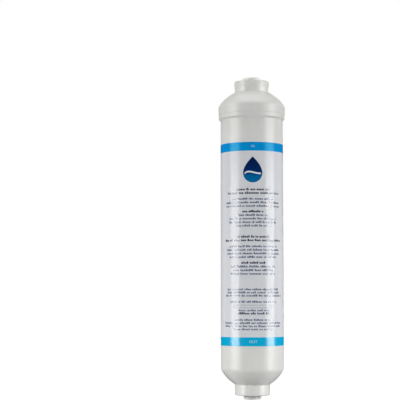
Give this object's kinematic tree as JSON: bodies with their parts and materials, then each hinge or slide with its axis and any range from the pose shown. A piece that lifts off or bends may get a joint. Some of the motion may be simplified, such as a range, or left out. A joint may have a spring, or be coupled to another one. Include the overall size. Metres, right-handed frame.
{
  "type": "in-line water filter cartridge",
  "caption": "Upright cylindrical in-line water filter cartridge with domed ends, a welded cap, a printed wrap label and push-in pipe ports with sliding release collets.",
  "frame": {"origin": "on the cartridge's axis at the outer end of the outlet collet, the lowest point of the part", "axes": "+Z along the cartridge's axis from the outlet to the inlet; the front of the label faces -Y"},
  "size_m": [0.0544, 0.0544, 0.262],
  "materials": {
    "housing": "satin",
    "label": "gloss",
    "fitting": "satin",
    "collet": "satin",
    "teeth": "satin",
    "seal": "matte",
    "strainer": "matte",
    "felt": "matte",
    "carbon": "matte"
  },
  "bodies": {
    "cartridge": {"housing_body": "housing", "inlet_cap": "housing", "label_wrap": "label", "inlet_retainer": "fitting", "outlet_retainer": "fitting", "inlet_spacer": "fitting", "outlet_spacer": "fitting", "inlet_seal": "seal", "outlet_seal": "seal", "inlet_strainer": "strainer", "outlet_strainer": "strainer", "inlet_pad": "felt", "outlet_pad": "felt", "carbon_bed": "carbon"},
    "inlet_release": {"inlet_collet": "collet", "inlet_collet_teeth": "teeth"},
    "outlet_release": {"outlet_collet": "collet", "outlet_collet_teeth": "teeth"}
  },
  "joints": [
    {"name": "inlet_collet_press", "type": "slide", "parent": "cartridge", "child": "inlet_release", "axis": [0, 0, -1], "range_m": [0, 0.001]},
    {"name": "outlet_collet_press", "type": "slide", "parent": "cartridge", "child": "outlet_release", "axis": [0, 0, 1], "range_m": [0, 0.001]}
  ]
}
